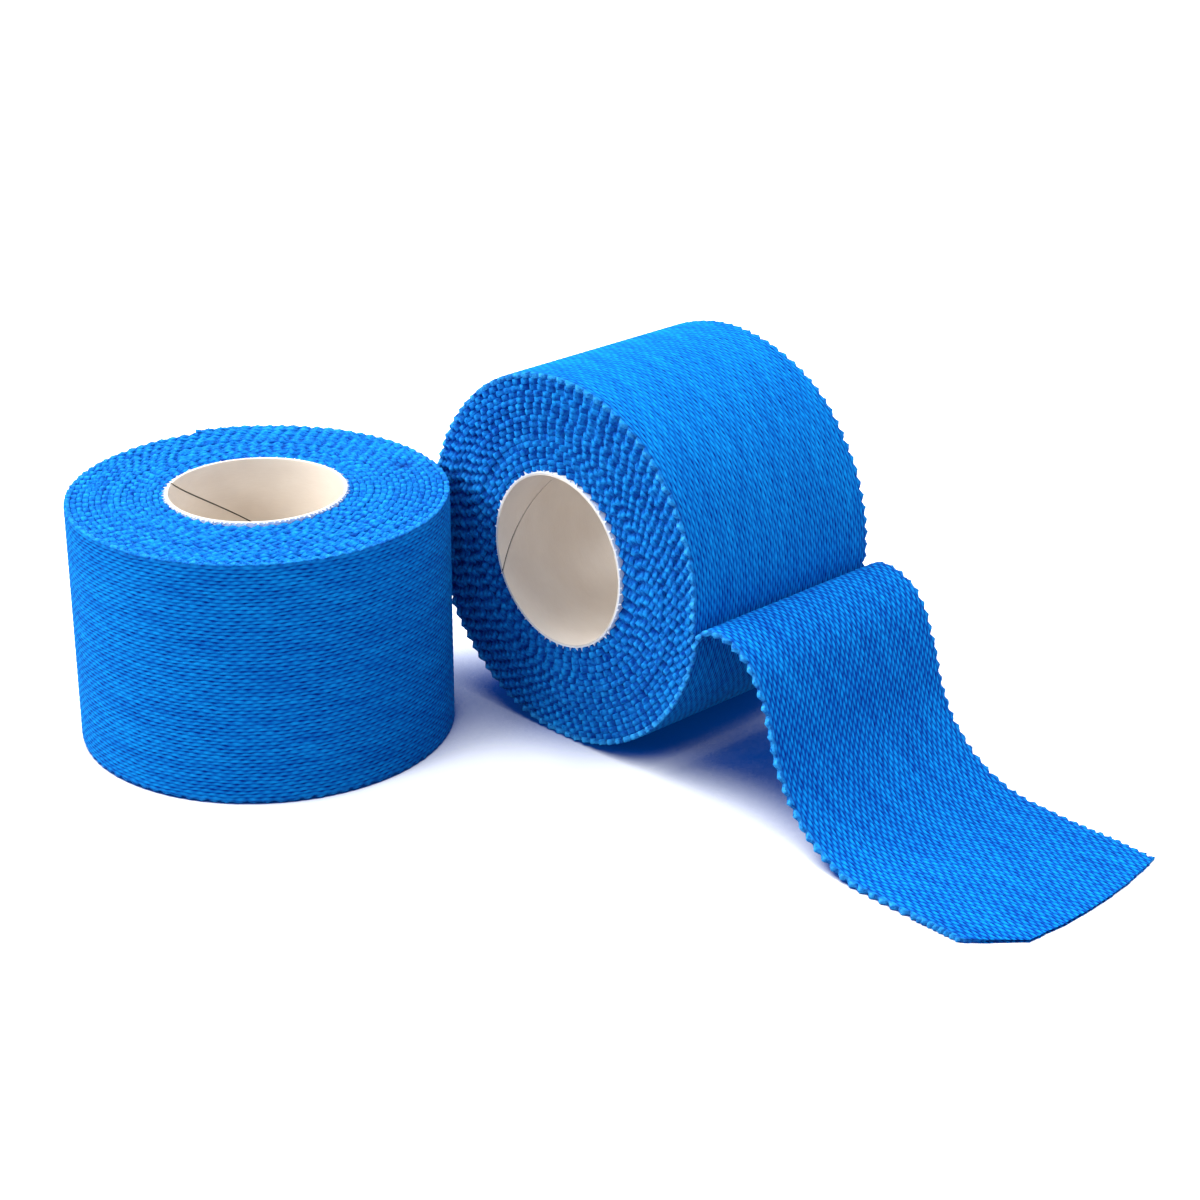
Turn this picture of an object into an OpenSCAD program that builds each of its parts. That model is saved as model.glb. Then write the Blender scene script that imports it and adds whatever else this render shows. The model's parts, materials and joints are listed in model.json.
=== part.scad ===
// A pair of rolls of elastic hand-wrap tape, each wound on a spiral paper core.
// One roll stands on its end. The other lies behind it with its free end drawn out.
// Millimetres. The origin is on the standing roll's axis, on the table.
// +Z is up, +Y is along the lying roll's axis, +X is the way its tape is drawn out.

/* [Tape] */
// Width of the tape, across the tips of its pinked edges
tape_w = 50; // [25:1:60]
// Thickness of one turn of the tape
tape_t = 1.205; // [0.8:0.005:1.3]
// Full turns of tape on the core, with one layer more where the two ends of the tape overlap
turns = 16; // [10:1:20]

/* [Core] */
// Bore of the paper core
core_bore_d = 34.4; // [30:0.2:38]
// Thickness of the inner ply
inner_ply_t = 0.2; // [0.2:0.05:0.6]
// Thickness of the middle ply
middle_ply_t = 0.2; // [0.2:0.05:0.6]
// Thickness of the outer ply
outer_ply_t = 0.2; // [0.2:0.05:0.6]

/* [Free end of the lying roll] */
// How far below the horizontal the tape leaves the roll, in degrees
peel_angle = 10; // [0:2.5:20]
// Radius of its upper face from the roll up to the crest of the hump
hump_rise_r = 5.8; // [5:0.2:8]
// Radius of its upper face over the far side of the hump
hump_fall_r = 14; // [9:0.5:16]
// Slope at which the tight part of the hump ends, in degrees
hump_slope = 59; // [45:1:64]
// Radius of the slack curve that follows
slack_r = 58; // [30:1:80]
// Steepest slope of the falling stretch, in degrees
drop_slope = 70; // [66:1:78]
// Slope at the bend from which the foot lifts, in degrees
foot_slope = 30; // [20:1:40]
// Length that lies flat on the table
foot_flat = 33; // [15:0.5:60]
// How far aside the cut end lies, towards the lying roll's near face
foot_aside = 3.5; // [0:0.5:6]

/* [Outer end of the standing roll] */
// Where the tape's end lies, counted from +X, in degrees
end_angle = 162; // [150:1:200]
// Length of the end that lifts off the roll
end_len = 24; // [12:1:30]

/* [Arrangement] */
// Distance from the standing roll's axis to the lying roll's middle, along +X
lying_x = 46.1; // [44:0.1:60]
// Least gap between the two rolls
roll_gap = 0.35; // [0.3:0.05:3]
// Gap between stretches of tape that move apart
joint_gap = 0.15; // [0.1:0.05:0.3]

/* [Hidden] */
$fn = 120;
// A round outline that grows with each turn has a corner every step degrees
step = 2.5;

tape_blue = [0.02, 0.45, 0.90];
paper_inner = [0.84, 0.79, 0.71];
paper_middle = [0.90, 0.87, 0.82];
paper_outer = [0.96, 0.95, 0.92];

// Radii, from the bore outwards
bore_r = core_bore_d / 2;
middle_ply_r = bore_r + inner_ply_t;
outer_ply_r = middle_ply_r + middle_ply_t;
core_r = outer_ply_r + outer_ply_t;
roll_r = core_r + tape_t * (turns + 1);

// Radius of the winding, counted back from the tape's outer end by an angle
function turn_r(back) = roll_r - tape_t * back / 360;

// Angle that the liftable end covers, in whole steps
end_deg = step * round(end_len / roll_r * 180 / PI / step);

// The lying roll rests on the table, and its near left rim just clears the standing roll
lying_z = turn_r(90 - peel_angle);
rim_x = lying_x - turn_r(180 - peel_angle);
touch_r = turn_r(end_angle - atan2(roll_r, rim_x)) + roll_gap;
lying_y = tape_w / 2 + sqrt(touch_r * touch_r - rim_x * rim_x);

// The free end is drawn in the plane across the roll's axis. It is a chain of arcs of
// its upper face, each from one heading to the next. The tape is on the path's right.
function right_of(heading) = [sin(heading), -cos(heading)];

peel_heading = 90 - peel_angle;
peel_r = turn_r(360);
peel_p = [peel_r * cos(-peel_angle), lying_z + peel_r * sin(-peel_angle)];
rise_centre = peel_p + hump_rise_r * right_of(peel_heading);
crest_p = rise_centre - hump_rise_r * right_of(0);
fall_centre = crest_p + hump_fall_r * right_of(0);
slack_centre = fall_centre + (slack_r - hump_fall_r) * right_of(-hump_slope);
drop_p = slack_centre - slack_r * right_of(-drop_slope);
// The last arc turns back to the level, and its radius brings the tape down flat
landing_r = (drop_p.y - tape_t) / (1 - cos(drop_slope));
landing_centre = drop_p - landing_r * right_of(-drop_slope);
foot_p = landing_centre + landing_r * right_of(-foot_slope);
flat_x = landing_centre.x;

// --- Shapes that repeat ---

// A point at a radius and an angle
function polar(r, a) = [r * cos(a), r * sin(a)];

// One paper ply: a tube as long as the tape is wide, standing on the origin
module ply(r, thickness) {
    difference() {
        cylinder(h = tape_w, r = r + thickness);
        translate([0, 0, -1]) cylinder(h = tape_w + 2, r = r);
    }
}

// The wound tape, standing on the origin. Its outermost turn stops short of the tape's
// own end by the angle stop, and that end would lie at the angle at.
module wound_tape(at, stop) {
    outline = [for (back = [stop : step : stop + 360]) polar(turn_r(back), at - back)];
    difference() {
        linear_extrude(tape_w) polygon(outline);
        translate([0, 0, -1]) cylinder(h = tape_w + 2, r = core_r);
    }
}

// Pairs of points on the upper and lower face of the tape as it bends from heading h0 to
// heading h1. The radius is negative where the tape turns right.
function bend(centre, radius, h0, h1) =
    let (corners = ceil(abs(h1 - h0) / step))
    [for (i = [0 : corners])
        let (side = right_of(h0 + (h1 - h0) * i / corners))
        [centre + radius * side, centre + (radius + tape_t) * side]];

// All pairs but the first, for a bend that goes on from the one before
function rest_of(pairs) = [for (i = [1 : len(pairs) - 1]) pairs[i]];

// The outline between the two faces
module strip(pairs) {
    last = len(pairs) - 1;
    polygon(concat([for (i = [0 : last]) pairs[i][0]], [for (i = [last : -1 : 0]) pairs[i][1]]));
}

// Gives a stretch of the free end its width, at the lying roll's place
module across_roll() {
    translate([lying_x, lying_y, 0])
        rotate([90, 0, 0])
            linear_extrude(tape_w, center = true) children();
}

// Lays a standing roll or core down, its axis along +Y, at the lying roll's place
module lay_down() {
    translate([lying_x, lying_y + tape_w / 2, lying_z]) rotate([90, 0, 0]) children();
}

// Angle that a gap covers on a curve
function gap_deg(r) = joint_gap / r * 180 / PI;

// --- The standing roll ---

module standing_core_inner_ply() {
    color(paper_inner) ply(bore_r, inner_ply_t);
}

module standing_core_middle_ply() {
    color(paper_middle) ply(middle_ply_r, middle_ply_t);
}

module standing_core_outer_ply() {
    color(paper_outer) ply(outer_ply_r, outer_ply_t);
}

module standing_tape_roll() {
    color(tape_blue) wound_tape(end_angle, end_deg);
}

// The last stretch of the outermost turn, which lifts from its root at the roll
module standing_tape_end() {
    root = end_deg - gap_deg(roll_r);
    backs = [root, each [end_deg - step : -step : 0]];
    outer = [for (back = backs) polar(turn_r(back), end_angle - back)];
    inner = [for (back = backs) polar(turn_r(back + 360) + joint_gap, end_angle - back)];
    last = len(backs) - 1;
    color(tape_blue)
        linear_extrude(tape_w) polygon(concat(outer, [for (i = [last : -1 : 0]) inner[i]]));
}

// --- The lying roll ---

module lying_core_inner_ply() {
    color(paper_inner) lay_down() ply(bore_r, inner_ply_t);
}

module lying_core_middle_ply() {
    color(paper_middle) lay_down() ply(middle_ply_r, middle_ply_t);
}

module lying_core_outer_ply() {
    color(paper_outer) lay_down() ply(outer_ply_r, outer_ply_t);
}

module lying_tape_roll() {
    color(tape_blue) lay_down() wound_tape(-peel_angle, 0);
}

// From the roll up to the crest, where the free end bends
module lying_tape_hump() {
    color(tape_blue) across_roll() strip(bend(rise_centre, -hump_rise_r, peel_heading, 0));
}

// From the crest down to the bend above the table
module lying_tape_drop() {
    over = bend(fall_centre, -hump_fall_r, -gap_deg(hump_fall_r), -hump_slope);
    slack = bend(slack_centre, -slack_r, -hump_slope, -drop_slope);
    landing = bend(landing_centre, landing_r, -drop_slope, -foot_slope);
    color(tape_blue) across_roll() strip(concat(over, rest_of(slack), rest_of(landing)));
}

// From that bend to the cut end, which lies flat on the table and a little aside
module lying_tape_foot() {
    landing = bend(landing_centre, landing_r, -foot_slope + gap_deg(landing_r), 0);
    near = -tape_w / 2;
    far = tape_w / 2;
    lap = 0.5;
    color(tape_blue) {
        across_roll() strip(landing);
        translate([lying_x + flat_x, lying_y, 0])
            linear_extrude(tape_t)
                polygon([
                    [-lap, near], [0, near], [foot_flat, near - foot_aside],
                    [foot_flat, far - foot_aside], [0, far], [-lap, far]
                ]);
    }
}

standing_core_inner_ply();
standing_core_middle_ply();
standing_core_outer_ply();
standing_tape_roll();
standing_tape_end();
lying_core_inner_ply();
lying_core_middle_ply();
lying_core_outer_ply();
lying_tape_roll();
lying_tape_hump();
lying_tape_drop();
lying_tape_foot();
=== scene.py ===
"""Looks of two rolls of elastic hand-wrap tape. One stands on its end, and the other lies with its
free end drawn out."""
import json
import math

import bpy
import numpy as np
from mathutils import Matrix, Vector


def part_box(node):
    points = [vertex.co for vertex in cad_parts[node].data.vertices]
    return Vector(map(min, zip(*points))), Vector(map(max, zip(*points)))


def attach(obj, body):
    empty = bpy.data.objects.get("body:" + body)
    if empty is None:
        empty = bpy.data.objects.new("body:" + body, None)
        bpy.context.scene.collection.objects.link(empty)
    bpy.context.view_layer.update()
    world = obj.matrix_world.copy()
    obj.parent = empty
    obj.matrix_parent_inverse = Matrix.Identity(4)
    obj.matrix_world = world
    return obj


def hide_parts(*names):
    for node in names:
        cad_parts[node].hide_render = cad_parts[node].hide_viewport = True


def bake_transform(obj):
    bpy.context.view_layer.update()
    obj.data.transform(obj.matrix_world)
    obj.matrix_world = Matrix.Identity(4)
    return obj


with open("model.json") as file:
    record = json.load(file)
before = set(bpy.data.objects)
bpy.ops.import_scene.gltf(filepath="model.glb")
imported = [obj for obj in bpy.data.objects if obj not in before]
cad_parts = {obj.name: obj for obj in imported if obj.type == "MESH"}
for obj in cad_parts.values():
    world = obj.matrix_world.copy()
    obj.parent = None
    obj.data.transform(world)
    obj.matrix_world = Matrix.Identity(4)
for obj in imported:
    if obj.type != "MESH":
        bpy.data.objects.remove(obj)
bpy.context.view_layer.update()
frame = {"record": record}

MM = 0.001

# --- The tape and the rolls, in millimetres ---
TAPE_T = 1.205           # thickness of one turn
TURNS = 16               # full turns on the core
PEEL_ANGLE = 10.0        # the lying roll's tape leaves it this far below the horizontal
END_ANGLE = 162.0        # where the standing roll's tape ends, counted from +X
END_ROOT = 35.0          # angle that the liftable end covers
MOUNTS = {m["name"]: m for m in frame["record"]["mounts"]}
CORE_LOW, CORE_HIGH = (np.array(corner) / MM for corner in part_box("standing_core_outer_ply"))
TAPE_W = CORE_HIGH[2] - CORE_LOW[2]
HALF_W = TAPE_W / 2
CORE_R = (CORE_HIGH[0] - CORE_LOW[0]) / 2
BORE_R = MOUNTS["standing_bore"]["dims"]["r_mm"]
ROLL_R = CORE_R + TAPE_T * (TURNS + 1)
LYING = np.array(MOUNTS["lying_bore"]["pos_m"]) / MM

# --- The weave and the pinked edges, in millimetres ---
TOOTH = 2 * math.pi * TAPE_T / 3   # pitch of the teeth: they nearly line up from turn to turn
TOOTH_ROWS = 6           # mesh rows from one tooth to the next
ROW = TOOTH / TOOTH_ROWS
WEAVE = 2.30             # one full period of the weave along the tape
YARN = 0.735             # pitch of the yarns across the tape
COLUMN = YARN / 3.4      # width of a mesh column on the face with the weave
RELIEF = 0.17            # depth of the gaps between the yarns
GAP_LEAST, GAP_MOST = 0.08, 0.30   # half widths of a gap where it closes and opens, as shares of a yarn
GAP_FLOOR = 0.3          # share of a gap's half width that is its flat bottom
GAP_SHALLOW, GAP_DEEPER = 0.2, 0.5   # depth of a closed gap, and what opening adds to it
CROWN_SHIFT = 0.5        # how far a yarn's crowns run behind the gaps beside it, in radians
LOW_WOUND, LOW_SLACK = 0.6, 0.35   # height of a yarn between its crowns, on a roll and on the free end
SKIN = 0.006             # the tape is this much thinner than one turn, so that turns don't touch
HALF_T = (TAPE_T - SKIN) / 2         # from the tape's middle to its face
CAP_ROW = 0.004          # length of the row next to a closing face, which keeps it from bending the light

# --- The free end: heading at the start and end of each arc, and the radius of its upper face ---
TAIL_ARCS = [
    (80.0, 0.0, 5.8),
    (0.0, -59.0, 14.0),
    (-59.0, -70.0, 58.0),
]
TAIL_FLAT = 33.0         # length on the table, after a last arc that lands there
TAIL_SEAM = 32.1         # distance along the free end at which its mesh is split in two
TAIL_VEER = 5.1          # how far aside the cut end lies
VEER_FROM, VEER_OVER = 3.0, 84.0     # where the free end starts to turn aside, and over what length
TAIL_TWIST = 0.7         # how far each edge runs ahead or behind on the falling stretch
TWIST_FROM, TWIST_OVER = 8.0, 60.0   # where on the free end that starts, and over what length
TAIL_THIN, THIN_OVER = 14.0, 12.0    # from here to the end the tape thins to half, over this length
CUT_REACH = 22.0         # the last stretch, which is stretched or shortened to meet the cut
CUT_SHORT = 1.9          # the cut lies this far inside the tape's nominal end
CUT_BOW = 0.0045         # curve of the cut, for each square millimetre across the tape
CUT_MIDDLE = 2.0         # where across the tape the curve is foremost
CUT_CORNER = 15.5        # from here to the near edge the cut runs back
CUT_SLANT = 0.75         # by this much for each millimetre

# --- Where the meshes of the winding are split, counted back from the outer end in degrees ---
LOOSE_SPLIT = 118        # standing roll: the loose end and the front, at the camera's far right
FRONT_SPLIT = 290        # the front and the back, at the camera's far left
BACK_SPLIT = 425         # the back, and the wound turns under it
TAIL_SPLIT = 12          # lying roll: the free end and the outer turn's lower half
HALF_SPLIT = 186         # the outer turn's lower half and its upper half

# --- Dimples in the top of the standing roll, pushed in and painted darker as painted shade: X, Y and radius ---
DIMPLES = [(8.0, 31.0, 1.8), (30.9, -0.2, 0.6)]
DIMPLE_DEPTH = 0.7
DIMPLE_BAND = 3.0        # only this much of the tape's width, at its upper edge, is pushed in

# --- How far to each side of the loose end's root two points on the tape are worked out ---
FOLD_DEG = 4.0           # on the standing roll, in degrees


# --- Small helpers ---

def ripple(x, lengths, seed):
    """A smooth random wave of x, from about -1 to 1, made of one sine for each of the given lengths."""
    draw = np.random.default_rng(seed)
    total = 0
    for length in lengths:
        total = total + np.sin(2 * np.pi * (x / length + draw.random()))
    return total / len(lengths)


def grain(shape, seed):
    """Random numbers from -1 to 1."""
    return np.random.default_rng(seed).uniform(-1, 1, shape)


def turn_r(back):
    """Outer radius of the winding, counted back from the tape's outer end by an angle in degrees. The first
    turns lie flat on the core and climb over the tape's start. The outer ones grow evenly."""
    turn = np.clip(TURNS - np.asarray(back, float) / 360, 0, TURNS)
    whole = np.minimum(np.floor(turn), TURNS - 1)
    return CORE_R + TAPE_T * (1 + whole + (turn - whole) ** (1 + 24 * np.exp(-whole / 1.2)))


# Length of tape from its outer end to each angle of the winding
WIND_BACK = np.linspace(0, 360.0 * TURNS, 40001)
WIND_LEN = np.concatenate([[0], np.cumsum(
    np.radians(np.diff(WIND_BACK)) * (turn_r(WIND_BACK[1:]) + turn_r(WIND_BACK[:-1]) - TAPE_T) / 2)])


def length_at(back):
    return float(np.interp(back, WIND_BACK, WIND_LEN))


# --- Meshes ---

class Shell:
    """Collects the points and faces of one mesh, with the fields that its material reads."""

    def __init__(self):
        self.points, self.faces, self.paints, self.smooth = [], [], [], []
        self.tone, self.edge, self.glow, self.lie = [], [], [], []
        self.count = 0

    def add(self, points, faces, tone=1.0, edge=0.0, lie=None, glow=0.0, paint=0, smooth=True):
        """points is (n, 3) in millimetres. faces is a list of index arrays, one for each number of
        corners that a face can have."""
        points = np.asarray(points, float).reshape(-1, 3)
        size = len(points)
        for group in faces:
            group = np.asarray(group, np.int64)
            self.faces.append(group + self.count)
            self.paints.append(np.full(len(group), paint))
            self.smooth.append(np.full(len(group), smooth))
        self.points.append(points)
        for field, value in ((self.tone, tone), (self.edge, edge), (self.glow, glow)):
            field.append(np.broadcast_to(np.asarray(value, float).reshape(-1), (size,)))
        self.lie.append(points if lie is None else np.asarray(lie, float).reshape(-1, 3))
        self.count += size

    def add_flat(self, faces, size):
        """Flat faces on the last points added, which are size in number."""
        for group in faces:
            self.faces.append(group + self.count - size)
            self.paints.append(np.zeros(len(group)))
            self.smooth.append(np.zeros(len(group), bool))

    def build(self, name, materials):
        mesh = bpy.data.meshes.new(name)
        points = np.concatenate(self.points) * MM
        sizes = np.concatenate([np.full(len(g), g.shape[1]) for g in self.faces])
        corners = np.concatenate([g.ravel() for g in self.faces])
        mesh.vertices.add(len(points))
        mesh.vertices.foreach_set("co", points.ravel())
        mesh.loops.add(len(corners))
        mesh.loops.foreach_set("vertex_index", corners)
        mesh.polygons.add(len(sizes))
        mesh.polygons.foreach_set("loop_start", np.concatenate([[0], np.cumsum(sizes)[:-1]]))
        mesh.update(calc_edges=True)
        mesh.polygons.foreach_set("material_index", np.concatenate(self.paints).astype(np.int32))
        mesh.polygons.foreach_set("use_smooth", np.concatenate(self.smooth).astype(bool))
        for field in ("tone", "edge", "glow"):
            attribute = mesh.attributes.new(field, "FLOAT", "POINT")
            attribute.data.foreach_set("value", np.concatenate(getattr(self, field)))
        attribute = mesh.attributes.new("lie", "FLOAT_VECTOR", "POINT")
        attribute.data.foreach_set("vector", np.concatenate(self.lie).ravel())
        for material in materials:
            mesh.materials.append(material)
        piece = bpy.data.objects.new(name, mesh)
        bpy.context.scene.collection.objects.link(piece)
        return piece


def grid_faces(rows, columns, closed=True):
    """Quads between neighbouring rows of points. closed joins the last column to the first."""
    across = columns if closed else columns - 1
    i, j = np.meshgrid(np.arange(rows - 1), np.arange(across), indexing="ij")
    k = (j + 1) % columns
    quads = [i * columns + j, i * columns + k, (i + 1) * columns + k, (i + 1) * columns + j]
    return np.stack(quads, -1).reshape(-1, 4)


# --- The strip of tape ---

def wandering(s, v):
    """The weave's own coordinates: its yarns wander a little from straight lines."""
    v2 = v + 0.13 * ripple(s, (9.0, 23.0, 51.0), 11) + 0.10 * ripple(s + 3 * v, (6.1, 13.0), 12)
    s2 = s + 0.30 * ripple(v, (2.3, 5.9, 13.0), 13) + 0.22 * ripple(s + 5 * v, (7.7, 31.0), 14)
    return s2, v2


def weave_height(s, v):
    """Height of the weave, from 0 in a gap to 1 on a yarn's crown. Long gaps open and close between the yarns
    in brick order. The material repeats this."""
    across = v / YARN
    gap = np.round(across)
    distance = np.abs(across - gap)
    opening = 0.5 + 0.5 * np.cos(2 * np.pi * s / WEAVE + np.pi * gap)
    width = GAP_LEAST + (GAP_MOST - GAP_LEAST) * opening
    slit = 1 - np.clip((distance / width - GAP_FLOOR) / (1 - GAP_FLOOR), 0, 1) ** 2
    crown = 0.5 + 0.5 * np.cos(2 * np.pi * s / WEAVE - CROWN_SHIFT + np.pi * np.floor(across))
    bulge = np.sqrt(1 - 0.9 * (1 - 2 * distance) ** 2)
    low = np.where(s < 0, LOW_SLACK, LOW_WOUND)
    depth = slit * (GAP_SHALLOW + GAP_DEEPER * opening)
    return (low + (1 - low) * crown) * (0.5 + 0.5 * bulge) * (1 - depth)


def tooth(row, shift, seed):
    """How deep the pinked edge is cut at each row: 0 at a tooth's tip, about 1 in a valley."""
    step = (row + shift) % TOOTH_ROWS
    deep = 1 - np.abs(2 * step / TOOTH_ROWS - 1)
    which = (row + shift) // TOOTH_ROWS
    size = np.random.default_rng(seed).uniform(0.65, 1.1, 9000)[which % 9000]
    return deep * size


RIM = np.array([0.0, 0.07, 0.20, 0.42])    # columns near an edge, by their distance from it
PLAIN_RIM = np.array([0.0, 0.12, 0.42])    # the same for a face without the weave


def columns(woven, step):
    rim, step = (RIM, step) if woven else (PLAIN_RIM, TAPE_W)
    inner = np.linspace(-HALF_W + 1, HALF_W - 1, max(2, round((TAPE_W - 2) / step) + 1))
    return np.concatenate([-HALF_W + rim, inner, HALF_W - rim[::-1]])


def strip(name, first, last, place, materials, outer=True, inner=False, wander=0.0, seed=0,
          fibres=0, cut=None, teeth=1.0, pale=1.0, shade=0.88, dents=()):
    """A closed stretch of tape from row first to row last. place(s, v, n) gives points for a length
    along the tape, a distance across it and a height off its middle. outer and inner give those
    faces the weave. teeth is the depth of the pinked edge, shade how dark the painted shade in its
    valleys is, and pale how strong the painted highlight on the tips of its teeth is. dents gives the
    places, by X and Y and radius, where the upper edge is pushed in and painted darker, as painted
    shade."""
    rows = np.concatenate([[first], np.arange(first, last + 1), [last]])
    s = rows[:, None] * ROW
    s[1] += CAP_ROW
    s[-2] -= CAP_ROW
    up, down = columns(outer, COLUMN), columns(inner, 2 * COLUMN)
    down = down[::-1][1:-1]
    u = np.concatenate([up, down])[None, :]
    face = np.concatenate([np.ones(len(up)), -np.ones(len(down))])[None, :]
    gap = HALF_W - np.abs(u)                 # distance from the edge before it is cut
    near = u > 0
    depth = np.where(near, tooth(rows, 0, 5)[:, None], tooth(rows, 3, 6)[:, None]) * teeth
    near_drift = ripple(s, (260.0, 71.0, 33.0), 21)
    far_drift = ripple(s, (240.0, 83.0, 29.0), 22)
    drift = wander * (1 + np.where(near, near_drift, far_drift)) / 2
    ragged = 0.11 * (1 + grain((len(rows), u.shape[1]), 31 + seed)) * np.exp(-gap / 0.4)
    ragged[0], ragged[-1] = ragged[1], ragged[-2]
    pull = np.clip(1 - gap / 2.0, 0, 1)
    v = np.sign(u) * (np.abs(u) - (depth + drift) * pull - ragged)
    rim = 1 - np.clip(gap / RIM[-1], 0, 1)
    profile = (1 - rim ** 2.6) ** 0.45
    along = s + 0 * v if cut is None else cut(s, v)
    ws, wv = wandering(along, v)
    height = weave_height(ws, wv)
    carved = np.where(face > 0, float(outer), float(inner))
    matted = 0.09 * grain((len(rows), u.shape[1]), 32 + seed) * rim * (1 - rim) * 4
    matted[0], matted[-1] = matted[1], matted[-2]
    n = face * (HALF_T * profile - RELIEF * (1 - height) * carved * profile) + matted
    points = place(along, v, n)
    dent = 0 * v + 0 * s
    for x, y, radius in dents:
        away = (points[..., 0] - x) ** 2 + (points[..., 1] - y) ** 2
        dent = dent + np.exp(-away / radius ** 2) * (v > HALF_W - DIMPLE_BAND)
    points[..., 2] -= DIMPLE_DEPTH * dent
    loop = u.shape[1]
    valley = np.clip(depth / teeth, 0, 1)
    edge = np.exp(-gap / 0.5) + 0 * s
    # Painted shade: the valleys between the teeth are darkened close to the edge. The ripple is a random
    # variation of colour along the weave.
    tone = (1 - shade * valley * np.exp(-gap / 0.8)) * (0.9 + 0.1 * ripple(ws - 2 * wv, (4.3, 9.7, 17.0), 15))
    # Painted shade inside the dents.
    tone = tone * (1 - 0.8 * np.clip(dent, 0, 1))
    shell = Shell()
    lie = np.stack([ws + 0 * n, wv + 0 * n, n], -1)
    cap = np.arange(loop)
    caps = [cap[None, :], (cap[::-1] + (len(rows) - 1) * loop)[None, :]]
    # Painted highlight on the tips of the teeth at the cut edges, weaker in their valleys.
    glow = pale * edge * (1 - 0.7 * valley)
    shell.add(points, [grid_faces(len(rows), loop)[:, ::-1]], tone, edge, lie, glow)
    shell.add_flat(caps, len(rows) * loop)
    if fibres:
        fray(shell, points, u[0], fibres, seed)
    return shell.build(name, materials)


def fray(shell, points, u, count, seed):
    """Loose fibre ends that stand off the two cut edges, as thin closed cones."""
    draw = np.random.default_rng(seed + 77)
    edges = [int(np.argmin(u)), int(np.argmax(u))]
    row = draw.integers(1, len(points) - 1, count)
    side = draw.integers(0, 2, count)
    column = np.array(edges)[side]
    root = points[row, column]
    inward = points[row, np.where(side == 0, column + 3, column - 3)]
    out = root - inward
    out /= np.linalg.norm(out, axis=1, keepdims=True)
    lean = draw.normal(0, 0.45, (count, 3))
    axis = out + lean
    axis /= np.linalg.norm(axis, axis=1, keepdims=True)
    length = draw.uniform(0.15, 0.55, (count, 1))
    spikes(shell, root - 0.1 * out, axis, length, 0.045, 1)


def spikes(shell, root, axis, length, radius, paint):
    """Thin three-sided closed cones."""
    count = len(root)
    other = np.where(np.abs(axis[:, 2:3]) < 0.8, [[0.0, 0.0, 1.0]], [[1.0, 0.0, 0.0]])
    a = np.cross(axis, other)
    a /= np.linalg.norm(a, axis=1, keepdims=True)
    b = np.cross(axis, a)
    thirds = (0, 2 * math.pi / 3, 4 * math.pi / 3)
    ring = [root + radius * (math.cos(t) * a + math.sin(t) * b) for t in thirds]
    points = np.stack([*ring, root + axis * length], 1)
    points[..., 2] = np.maximum(points[..., 2], 0.02)     # none goes through the table
    k = np.arange(count)[:, None] * 4
    faces = np.concatenate([k + [0, 1, 3], k + [1, 2, 3], k + [2, 0, 3], k + [2, 1, 0]])
    shell.add(points, [faces], paint=paint)


# --- Where a stretch of tape lies ---

def wound(s):
    """Angle counted back from the outer end, middle radius, and thickness as a share of the usual one, at a
    length along the winding. The tape fills the room down to the turn below it. It was wound a little tighter
    here and looser there, which shifts the teeth of one turn against the next."""
    drift = 0.5 * ripple(s, (1370.0, 730.0, 410.0), 71) * np.clip(s / 150, 0, 1)
    back = np.interp(s + drift * np.clip((WIND_LEN[-1] - s) / 60, 0, 1), WIND_LEN, WIND_BACK)
    over = turn_r(back)
    under = np.where(back < 360 * (TURNS - 1), turn_r(back + 360), CORE_R)
    return back, (over + under) / 2, (over - under) / TAPE_T


def on_standing(s, v, n):
    back, middle, thick = wound(s)
    lift = 0.55 * np.exp(-back / 9.0)        # the very end stands a little off the roll
    angle = np.radians(END_ANGLE - back)
    r = middle + n * thick + lift
    return np.stack(np.broadcast_arrays(r * np.cos(angle), r * np.sin(angle), HALF_W + v), -1)


def tail_line():
    """The free end's middle line from the roll: length, place along +X and +Z, and heading."""
    step = 0.02
    lengths = [0.0]
    headings = [math.radians(TAIL_ARCS[0][0])]
    arcs = [(h0, h1, radius - TAPE_T / 2) for h0, h1, radius in TAIL_ARCS]
    steep = TAIL_ARCS[-1][1]
    slopes = [(math.radians(h0), math.radians(h1), radius) for h0, h1, radius in arcs]
    fall = LYING[2] - (ROLL_R - TAPE_T / 2) * math.sin(math.radians(PEEL_ANGLE)) - TAPE_T / 2
    fall += sum(radius * (math.cos(h1) - math.cos(h0)) for h0, h1, radius in slopes)
    arcs.append((steep, 0.0, fall / (1 - math.cos(math.radians(steep)))))
    for h0, h1, radius in arcs:
        size = radius * math.radians(abs(h1 - h0))
        part = np.linspace(0, 1, math.ceil(size / step) + 1)[1:]
        lengths += list(lengths[-1] + part * size)
        headings += list(np.radians(h0 + (h1 - h0) * part))
    lengths += [lengths[-1] + TAIL_FLAT]
    headings += [headings[-1]]
    lengths, headings = np.array(lengths), np.array(headings)
    middle = (headings[1:] + headings[:-1]) / 2
    start = math.radians(-PEEL_ANGLE)
    r = ROLL_R - TAPE_T / 2
    x = r * math.cos(start) + np.concatenate([[0], np.cumsum(np.diff(lengths) * np.cos(middle))])
    z = r * math.sin(start) + np.concatenate([[0], np.cumsum(np.diff(lengths) * np.sin(middle))])
    return lengths, x, z, headings


TAIL = tail_line()


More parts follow.
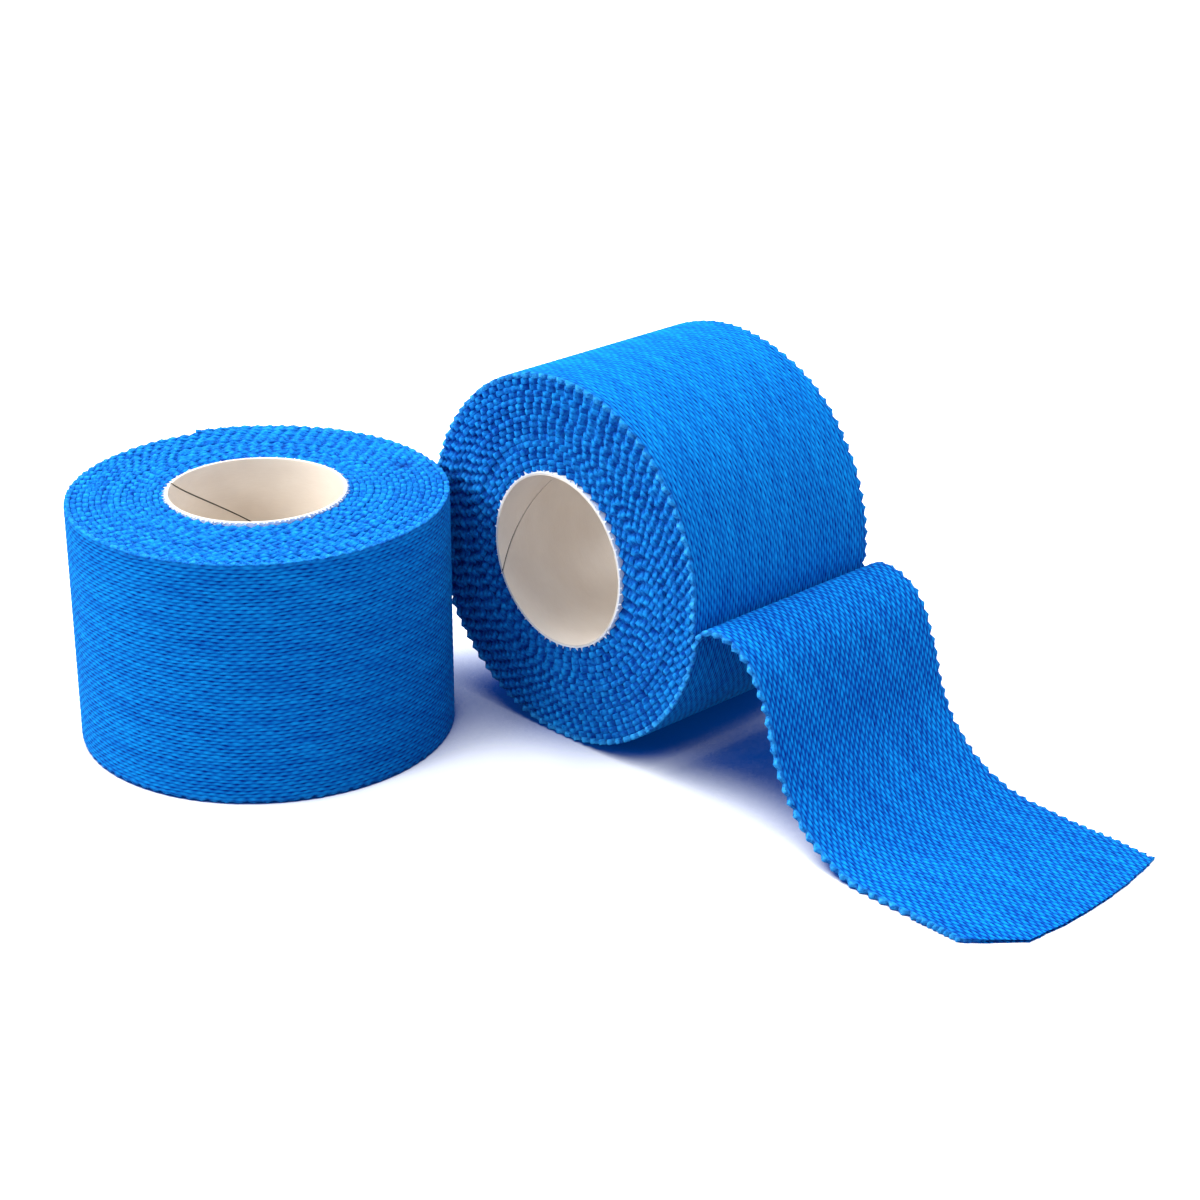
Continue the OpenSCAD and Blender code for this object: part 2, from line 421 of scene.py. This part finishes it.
def on_lying(s, v, n):
    """v points to the lying roll's near face. s is negative on the free end."""
    back, middle, thick = wound(np.maximum(s, 0))
    angle = np.radians(-PEEL_ANGLE - back)
    roll_x, roll_z = (middle + n * thick) * np.cos(angle), (middle + n * thick) * np.sin(angle)
    t = np.maximum(-s, 0)
    lengths, x, z, heading = TAIL
    h = np.interp(t, lengths, heading)
    thin = 1 - 0.5 * np.clip((t - lengths[-1] + TAIL_THIN) / THIN_OVER, 0, 1)
    n = np.where(t > 0, thin * (n - HALF_T) + HALF_T, n)
    tail_x = np.interp(t, lengths, x) + n * np.sin(h)
    tail_z = np.interp(t, lengths, z) - n * np.cos(h)
    aside = TAIL_VEER * np.sin(np.pi / 2 * np.clip((t - VEER_FROM) / VEER_OVER, 0, 1)) ** 1.7
    twist = np.sin(np.pi * np.clip((t - TWIST_FROM) / TWIST_OVER, 0, 1)) ** 2
    tail_x = tail_x + TAIL_TWIST * (v / HALF_W) * twist
    free = s < 0
    px = np.where(free, tail_x, roll_x)
    pz = np.where(free, tail_z, roll_z)
    py = -v - np.where(free, aside, 0.0)
    return np.stack(np.broadcast_arrays(LYING[0] + px, LYING[1] + py, LYING[2] + pz), -1)


TAIL_END = TAIL[0][-1]
CUT_FROM = TAIL_END - CUT_REACH


def cut_end(s, v):
    """Shifts the last rows of the free end, so that they end on its slightly curved, ragged cut."""
    ragged = 0.22 * ripple(v, (2.9, 1.3, 7.0), 51)
    outline = TAIL_END - CUT_SHORT - CUT_BOW * (v - CUT_MIDDLE) ** 2
    outline = outline - CUT_SLANT * np.clip(v - CUT_CORNER, 0, None) + ragged
    t = -s
    share = np.clip((t - CUT_FROM) / (TAIL_END - CUT_FROM), 0, None)
    return -np.where(t > CUT_FROM, CUT_FROM + share * (outline - CUT_FROM), t)


# --- The paper core ---

SEAM_RISE = 0.2          # millimetres along the core for each degree of the seam


def ply(name, r, thickness, seam_at, gap, mark, materials, place, fringe=0):
    """One ply of the core: a tube with a helical butt seam. seam_at is the seam's angle at the upper end, and
    mark the angle from there to a glue line that shows through the seam of the ply inside this one."""
    rows = np.linspace(0, 1, 41)
    rows = np.unique(np.concatenate([rows, [0.002, 0.005, 0.995, 0.998]]))
    z = rows * TAPE_W
    slit = math.degrees(gap / 2 / r)
    around = np.linspace(slit, 360 - slit, 181)
    lip_at = slit + np.array([0.4, 1.0])
    around = np.unique(np.concatenate([around, lip_at, 360 - lip_at]))
    a = np.concatenate([around, around[::-1]])
    wall = np.concatenate([np.zeros(len(around)), np.ones(len(around))])
    theta = np.radians(seam_at + (z[:, None] - TAPE_W) / SEAM_RISE + a[None, :])
    rim = 0.05 * np.exp(-np.minimum(z, TAPE_W - z) / 0.12)[:, None]
    middle = thickness / 2
    offset = (wall[None, :] - 0.5) * (thickness - 2 * np.minimum(rim, middle * 0.6))
    lip = 0.04 * np.exp(-np.minimum(around - slit, 360 - slit - around) / 1.2)
    lift = np.concatenate([lip, 0 * lip])[None, :]
    uneven = 0.02 * ripple(r * theta + z[:, None], (31.0, 17.0), 61)
    uneven = uneven + 0.012 * ripple(z[:, None] - theta, (3.1,), 62)
    radius = r + middle + offset + np.where(wall < 0.5, uneven - lift, 0)
    points = place(radius, theta, z[:, None])
    loop = points.shape[1]
    shell = Shell()
    lie = np.stack(np.broadcast_arrays(r * theta, z[:, None], 0.0), -1)
    from_mark = np.abs((a - mark + 180) % 360 - 180)
    tone = np.where((from_mark < 2.0) & (wall < 0.5), 0.0, 1.0)[None, :] + 0 * z[:, None]
    shell.add(points, [grid_faces(len(z), loop)], tone, 0.0, lie)
    half = len(around)
    j = np.arange(half - 1)
    bottom = np.stack([j, loop - 1 - j, loop - 2 - j, j + 1], -1)
    top = bottom[:, ::-1] + (len(z) - 1) * loop
    shell.add_flat([bottom, top], len(z) * loop)
    if fringe:
        paper_fringe(shell, r + thickness, fringe, place)
    return shell.build(name, materials)


def paper_fringe(shell, r, count, place):
    """Torn slivers of the white outer ply, which lie outwards between the teeth of the first turn."""
    draw = np.random.default_rng(91)
    for end in (0, 1):
        angle = np.arange(count) * 2 * np.pi / count + draw.uniform(-0.2, 0.2, count) * 2 * np.pi / count
        width = draw.uniform(0.18, 0.55, count) / r / 2
        length = draw.uniform(0.2, 0.85, count)
        top = draw.uniform(0.0, 0.12, count)
        z = [TAPE_W - top, TAPE_W - 0.55 - top] if end else [top, 0.55 + top]
        inside = np.full(count, r - 0.08)
        root = [place(inside, angle + side * width, level) for side in (-1, 1) for level in z]
        level = np.abs(z[0] - (0.1 if end else -0.1))
        tip = place(r + length, angle + draw.normal(0, 0.012, count), level)
        points = np.stack([*root, tip], 1)
        k = np.arange(count)[:, None] * 5
        tri = np.concatenate([k + [0, 2, 4], k + [2, 3, 4], k + [3, 1, 4], k + [1, 0, 4]])
        quad = k + [0, 1, 3, 2]
        shell.add(points, [tri, quad], smooth=False)


def core_standing(radius, theta, z):
    return np.stack(np.broadcast_arrays(radius * np.cos(theta), radius * np.sin(theta), z), -1)


def core_lying(radius, theta, z):
    x, y, up = LYING[0] + radius * np.cos(theta), LYING[1] + HALF_W - z, LYING[2] + radius * np.sin(theta)
    return np.stack(np.broadcast_arrays(x, y, up), -1)


# --- Materials ---

class Nodes:
    """Short hand for a material's node tree."""

    def __init__(self, name):
        self.material = bpy.data.materials.new(name)
        self.material.use_nodes = True
        self.tree = self.material.node_tree
        self.shader = self.tree.nodes["Principled BSDF"]

    def add(self, kind, **values):
        node = self.tree.nodes.new(kind)
        for key, value in values.items():
            if key in node.inputs:
                node.inputs[key].default_value = value
            else:
                setattr(node, key, value)
        return node

    def link(self, source, target):
        self.tree.links.new(source, target)

    def field(self, name):
        return self.add("ShaderNodeAttribute", attribute_name=name).outputs["Fac"]

    def math(self, operation, *values):
        node = self.add("ShaderNodeMath", operation=operation)
        for socket, value in zip(node.inputs, values):
            if isinstance(value, (int, float)):
                socket.default_value = value
            else:
                self.link(value, socket)
        return node.outputs[0]

    def ramp(self, source, stops):
        node = self.add("ShaderNodeValToRGB")
        ramp = node.color_ramp
        while len(ramp.elements) < len(stops):
            ramp.elements.new(0.5)
        for element, (at, color) in zip(ramp.elements, stops):
            element.position = at
            element.color = (*color, 1)
        self.link(source, node.inputs["Fac"])
        return node.outputs["Color"]

    def mix(self, factor, a, b):
        node = self.add("ShaderNodeMix", data_type="RGBA")
        for socket, value in zip((node.inputs[0], node.inputs[6], node.inputs[7]), (factor, a, b)):
            if isinstance(value, (int, float)):
                socket.default_value = value
            elif isinstance(value, tuple):
                socket.default_value = (*value, 1)
            else:
                self.link(value, socket)
        return node.outputs[2]

    def lie(self):
        return self.add("ShaderNodeAttribute", attribute_name="lie").outputs["Vector"]

    def noise(self, scale, detail=3.0, stretch=(1, 1, 1)):
        """Noise on the piece's own coordinates, in waves per millimetre."""
        mapping = self.add("ShaderNodeMapping", Scale=stretch)
        self.link(self.lie(), mapping.inputs["Vector"])
        node = self.add("ShaderNodeTexNoise", Scale=scale, Detail=detail)
        self.link(mapping.outputs["Vector"], node.inputs["Vector"])
        return node.outputs["Fac"]

    def bump(self, height, distance, strength=1.0):
        node = self.add("ShaderNodeBump", Distance=distance, Strength=strength)
        self.link(height, node.inputs["Height"])
        self.link(node.outputs["Normal"], self.shader.inputs["Normal"])

    def finish(self, **values):
        for key, value in values.items():
            self.shader.inputs[key.replace("_", " ")].default_value = value
        return self.material


def weave_nodes(n):
    """The same height as weave_height, at any resolution, with some gaps deeper than others."""
    m = n.math
    split = n.add("ShaderNodeSeparateXYZ")
    n.link(n.lie(), split.inputs[0])
    turn = m("MULTIPLY", split.outputs["X"], 2 * math.pi / WEAVE)
    across = m("DIVIDE", split.outputs["Y"], YARN)
    gap = m("ROUND", across)
    distance = m("ABSOLUTE", m("SUBTRACT", across, gap))
    opening = m("MULTIPLY_ADD", m("COSINE", m("MULTIPLY_ADD", gap, math.pi, turn)), 0.5, 0.5)
    width = m("MULTIPLY_ADD", opening, GAP_MOST - GAP_LEAST, GAP_LEAST)
    sides = 1 - GAP_FLOOR
    ratio = m("MULTIPLY_ADD", m("DIVIDE", distance, width), 1 / sides, -GAP_FLOOR / sides)
    slope = m("MAXIMUM", m("MINIMUM", ratio, 1), 0)
    slit = m("SUBTRACT", 1, m("MULTIPLY", slope, slope))
    side = m("MULTIPLY_ADD", m("FLOOR", across), math.pi, m("SUBTRACT", turn, CROWN_SHIFT))
    slack = m("LESS_THAN", split.outputs["X"], 0)
    swing = m("MULTIPLY_ADD", slack, (LOW_WOUND - LOW_SLACK) / 2, (1 - LOW_WOUND) / 2)
    crown = m("ADD", m("MULTIPLY", m("COSINE", side), swing), m("SUBTRACT", 1, swing))
    off = m("SUBTRACT", 1, m("MULTIPLY", distance, 2))
    bulge = m("SQRT", m("SUBTRACT", 1, m("MULTIPLY", m("MULTIPLY", off, off), 0.9)))
    body = m("MULTIPLY", crown, m("MULTIPLY_ADD", bulge, 0.5, 0.5))
    uneven = m("MULTIPLY_ADD", n.noise(0.8, 2.0, (0.5, 1, 1)), 2.6, -0.45)
    uneven = m("MINIMUM", m("MAXIMUM", uneven, 0), 1.2)
    deep = m("MULTIPLY", m("MULTIPLY_ADD", opening, GAP_DEEPER, GAP_SHALLOW), uneven)
    return m("MULTIPLY", body, m("SUBTRACT", 1, m("MULTIPLY", slit, deep)))


def tape_material():
    n = Nodes("tape_weave")
    edge, tone = n.field("edge"), n.field("tone")
    height = weave_nodes(n)
    knots = n.noise(1.15)
    cut_face = n.math("MULTIPLY_ADD", knots, 1.7, -0.15)
    level = n.math("MULTIPLY_ADD", edge, n.math("SUBTRACT", cut_face, height), height)
    streaks = n.noise(0.5, 3.0, (0.12, 1.6, 1))
    # tone carries painted shade in the valleys of the teeth and in the dents, over a random variation of
    # colour; the streaks are a random variation of colour.
    level = n.math("MULTIPLY", n.math("MULTIPLY", level, tone), n.math("MULTIPLY_ADD", streaks, 0.9, 0.55))
    # The ramp darkens the weave's gaps and lightens its crowns on the tape's own blue: painted shade and
    # painted highlight. Its darkest stops are the colour of deep shade.
    color = n.ramp(level, [
        (0.0, (0.000, 0.008, 0.140)),
        (0.25, (0.000, 0.050, 0.340)),
        (0.55, (0.001, 0.175, 0.590)),
        (1.0, (0.004, 0.330, 0.820)),
    ])
    # Painted highlight: the tips of the pinked edges are lightened towards a light blue, flecked by the
    # knots.
    lit = n.math("MULTIPLY", n.field("glow"), n.math("MULTIPLY_ADD", knots, 3.0, -0.8))
    color = n.mix(lit, color, (0.05, 0.47, 0.92))
    n.link(color, n.shader.inputs["Base Color"])
    fibres = n.noise(4.0, 3.0, (0.35, 1.8, 1))
    relief = n.math("MULTIPLY_ADD", fibres, 0.8, n.math("MULTIPLY", height, 0.8))
    n.bump(relief, 0.00015, 0.9)
    return n.finish(Roughness=0.9, Specular_IOR_Level=0.06, Sheen_Weight=0.03, Sheen_Roughness=0.5,
                    Sheen_Tint=(0.1, 0.6, 1.0, 1))


def fray_material():
    n = Nodes("tape_fibre")
    color = n.ramp(n.noise(1.3, 2.0), [(0.35, (0.004, 0.22, 0.72)), (0.7, (0.06, 0.46, 0.92))])
    n.link(color, n.shader.inputs["Base Color"])
    return n.finish(Roughness=0.9, Specular_IOR_Level=0.1)


def paper_material(name, dark, light, rough):
    n = Nodes(name)
    cloud = n.noise(0.07, 4.0, (1, 2.0, 1))
    fibre = n.noise(1.6, 5.0, (0.35, 2.2, 1))
    level = n.math("ADD", n.math("MULTIPLY", cloud, 0.75), n.math("MULTIPLY", fibre, 0.25))
    color = n.ramp(level, [(0.35, dark), (0.65, light)])
    n.link(n.mix(n.field("tone"), (0.045, 0.032, 0.022), color), n.shader.inputs["Base Color"])
    n.bump(fibre, 0.00003, 0.5)
    return n.finish(Roughness=rough, Specular_IOR_Level=0.45)


def floor_material():
    """Pale for the eye, with shadows lifted by painted light that only the camera sees, and darker for the
    light that it throws back on the rolls. Close under them, where ambient occlusion finds them near, it
    is painted dark blue and that painted light is dimmed: painted shadow and painted blue bounce light."""
    n = Nodes("floor")
    seen = n.add("ShaderNodeLightPath").outputs["Is Camera Ray"]
    open_air = n.add("ShaderNodeAmbientOcclusion", Distance=0.040, samples=32).outputs["AO"]
    # Painted shadow and painted blue bounce light: the floor that the camera sees is white, and dark blue
    # where ambient occlusion finds the rolls close.
    near = n.math("MAXIMUM", n.math("MINIMUM", n.math("MULTIPLY_ADD", open_air, 3.0, -0.75), 1), 0)
    pale = n.mix(near, (0.002, 0.06, 0.30), (0.93, 0.93, 0.93))
    n.link(n.mix(seen, (0.36, 0.38, 0.43), pale), n.shader.inputs["Base Color"])
    # Painted light that only the camera sees lifts the floor's shadows; close under the rolls it is dimmed
    # and blue, as painted shadow.
    lift = n.mix(near, (0.0, 0.015, 0.08), (0.40, 0.40, 0.40))
    n.link(n.mix(seen, (0.0, 0.0, 0.0), lift), n.shader.inputs["Emission Color"])
    return n.finish(Roughness=0.8, Specular_IOR_Level=0.05, Emission_Strength=1.0)


# --- The pieces ---


def row_of(length):
    return round(length / ROW)


def standing_tape(materials):
    last = row_of(WIND_LEN[-1])
    under, left, right = (row_of(length_at(split)) for split in (BACK_SPLIT, FRONT_SPLIT, LOOSE_SPLIT))

    piece = strip("standing_tape_wound", under, last, on_standing, materials, outer=False,
                  wander=0.4, fibres=4000, seed=1, teeth=0.5, pale=0.2, shade=0.6, dents=DIMPLES)
    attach(piece, "standing_roll")
    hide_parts("standing_tape_roll")

    turn = {"wander": 0.2, "seed": 2, "teeth": 0.4, "pale": 0.45, "shade": 0.5}
    for name, start, stop in (("back", left, under), ("front", right, left)):
        piece = strip(f"standing_tape_outer_{name}", start, stop, on_standing, materials,
                      fibres=1500, **turn)
        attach(piece, "standing_roll")

    piece = strip("standing_tape_loose_end", 0, right, on_standing, materials, inner=True,
                  fibres=900, **turn)
    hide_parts("standing_tape_end")
    backs = (END_ROOT + FOLD_DEG, END_ROOT - FOLD_DEG)
    ends = [Vector(on_standing(length_at(back), 0.0, 0.0) * MM) for back in backs]
    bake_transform(piece)


def lying_tape(materials):
    last = row_of(WIND_LEN[-1])
    tail, half, turn = (row_of(length_at(split)) for split in (TAIL_SPLIT, HALF_SPLIT, 360))
    seam = -row_of(TAIL_SEAM)
    end = -row_of(TAIL_END)

    piece = strip("lying_tape_wound", turn, last, on_lying, materials, outer=False,
                  wander=0.5, fibres=4000, seed=1, pale=0.25)
    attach(piece, "lying_roll")
    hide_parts("lying_tape_roll")

    for name, start, stop in (("top", half, turn), ("under", tail, half)):
        piece = strip(f"lying_tape_outer_{name}", start, stop, on_lying, materials,
                      wander=0.3, fibres=1800, seed=2)
        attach(piece, "lying_roll")

    piece = strip("lying_tape_tail", seam, tail, on_lying, materials, inner=True,
                  wander=0.2, fibres=700, seed=4)
    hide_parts("lying_tape_hump", "lying_tape_drop")
    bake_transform(piece)

    piece = strip("lying_tape_cut_end", end, seam, on_lying, materials, inner=True,
                  wander=0.2, fibres=1300, seed=4, cut=cut_end)
    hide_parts("lying_tape_foot")
    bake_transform(piece)


def core_pieces():
    inner = paper_material("paper_cream", (0.83, 0.72, 0.59), (0.90, 0.80, 0.67), 0.40)
    middle = paper_material("paper_board", (0.82, 0.77, 0.70), (0.88, 0.84, 0.78), 0.8)
    outer = paper_material("paper_white", (0.86, 0.86, 0.85), (0.93, 0.93, 0.92), 0.7)
    # Each ply: how far its seam is turned, the seam's gap, and where a glue line shows
    layers = [
        ("inner", 0.0, 0.55, 180.0, inner),
        ("middle", 120.0, 0.06, -120.0, middle),
        ("outer", 240.0, 0.06, -120.0, outer),
    ]
    # Each core: the inner seam's angle at the upper end, and the slivers round each rim
    cores = [
        ("standing", core_standing, -143.0, 110),
        ("lying", core_lying, 203.5, 60),
    ]
    thickness = (CORE_R - BORE_R) / len(layers)
    for roll, place, seam_at, slivers in cores:
        r = BORE_R
        for layer, shift, gap, mark, material in layers:
            fringe = slivers if layer == "outer" else 0
            piece = ply(f"{roll}_core_{layer}_paper", r, thickness, seam_at + shift, gap, mark,
                        [material], place, fringe)
            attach(piece, f"{roll}_roll")
            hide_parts(f"{roll}_core_{layer}_ply")
            r += thickness


# --- Camera, floor and light ---

def camera():
    """The camera's place, and its view by azimuth, elevation and a small roll. Gives its axes."""
    azimuth, elevation, roll = (math.radians(a) for a in (46.2, 23.476, 0.17))
    ahead = Vector((-math.sin(azimuth) * math.cos(elevation), math.cos(azimuth) * math.cos(elevation),
                    -math.sin(elevation)))
    right = ahead.cross(Vector((0, 0, 1))).normalized()
    right = Matrix.Rotation(-roll, 3, ahead) @ right
    up = right.cross(ahead)
    data = bpy.data.cameras.new("camera")
    data.sensor_width = 36
    data.lens = 79.52
    data.clip_end = 20
    seen_from = bpy.data.objects.new("camera", data)
    turn = Matrix((right, up, -ahead)).transposed().to_4x4()
    seen_from.matrix_world = Matrix.Translation(Vector((0.3970, -0.28727, 0.23727))) @ turn
    bpy.context.scene.collection.objects.link(seen_from)
    bpy.context.scene.camera = seen_from
    return right, ahead


def lamp(name, place, aim, size, power):
    data = bpy.data.lights.new(name, "AREA")
    data.shape = "DISK"
    data.size = size
    data.energy = power
    thing = bpy.data.objects.new(name, data)
    thing.location = place
    thing.rotation_euler = (Vector(aim) - Vector(place)).to_track_quat("-Z", "Y").to_euler()
    bpy.context.scene.collection.objects.link(thing)


def studio(right, ahead):
    mesh = bpy.data.meshes.new("floor")
    reach = 6.0
    mesh.from_pydata([(-reach, -reach, 0), (reach, -reach, 0), (reach, reach, 0), (-reach, reach, 0)], [],
                     [(0, 1, 2, 3)])
    mesh.materials.append(floor_material())
    floor = bpy.data.objects.new("floor", mesh)
    bpy.context.scene.collection.objects.link(floor)
    level = Vector((ahead.x, ahead.y, 0)).normalized()
    middle = Vector((0.04, 0.03, 0.03))
    # Each lamp: metres to the camera's right, away from it and up, its size, and its power
    lamps = [
        ("key", -1.0, 0.2, 0.9, 0.9, 20),
        ("front", -0.9, -0.75, 0.6, 0.4, 6),
        ("right", 1.1, 0.15, 0.8, 0.9, 6),
        ("top", 0.0, 0.25, 1.4, 1.2, 15),
    ]
    for name, across, away, height, size, power in lamps:
        place = middle + right * across + level * away + Vector((0, 0, height))
        lamp(name, place, middle, size, power)
    world = bpy.data.worlds.new("studio")
    bpy.context.scene.world = world
    world.use_nodes = True
    background = world.node_tree.nodes["Background"]
    background.inputs["Color"].default_value = (0.58, 0.72, 1.0, 1)
    background.inputs["Strength"].default_value = 0.60
    bpy.context.scene.view_settings.view_transform = "Standard"


blue = [tape_material(), fray_material()]
standing_tape(blue)
lying_tape(blue)
core_pieces()
studio(*camera())
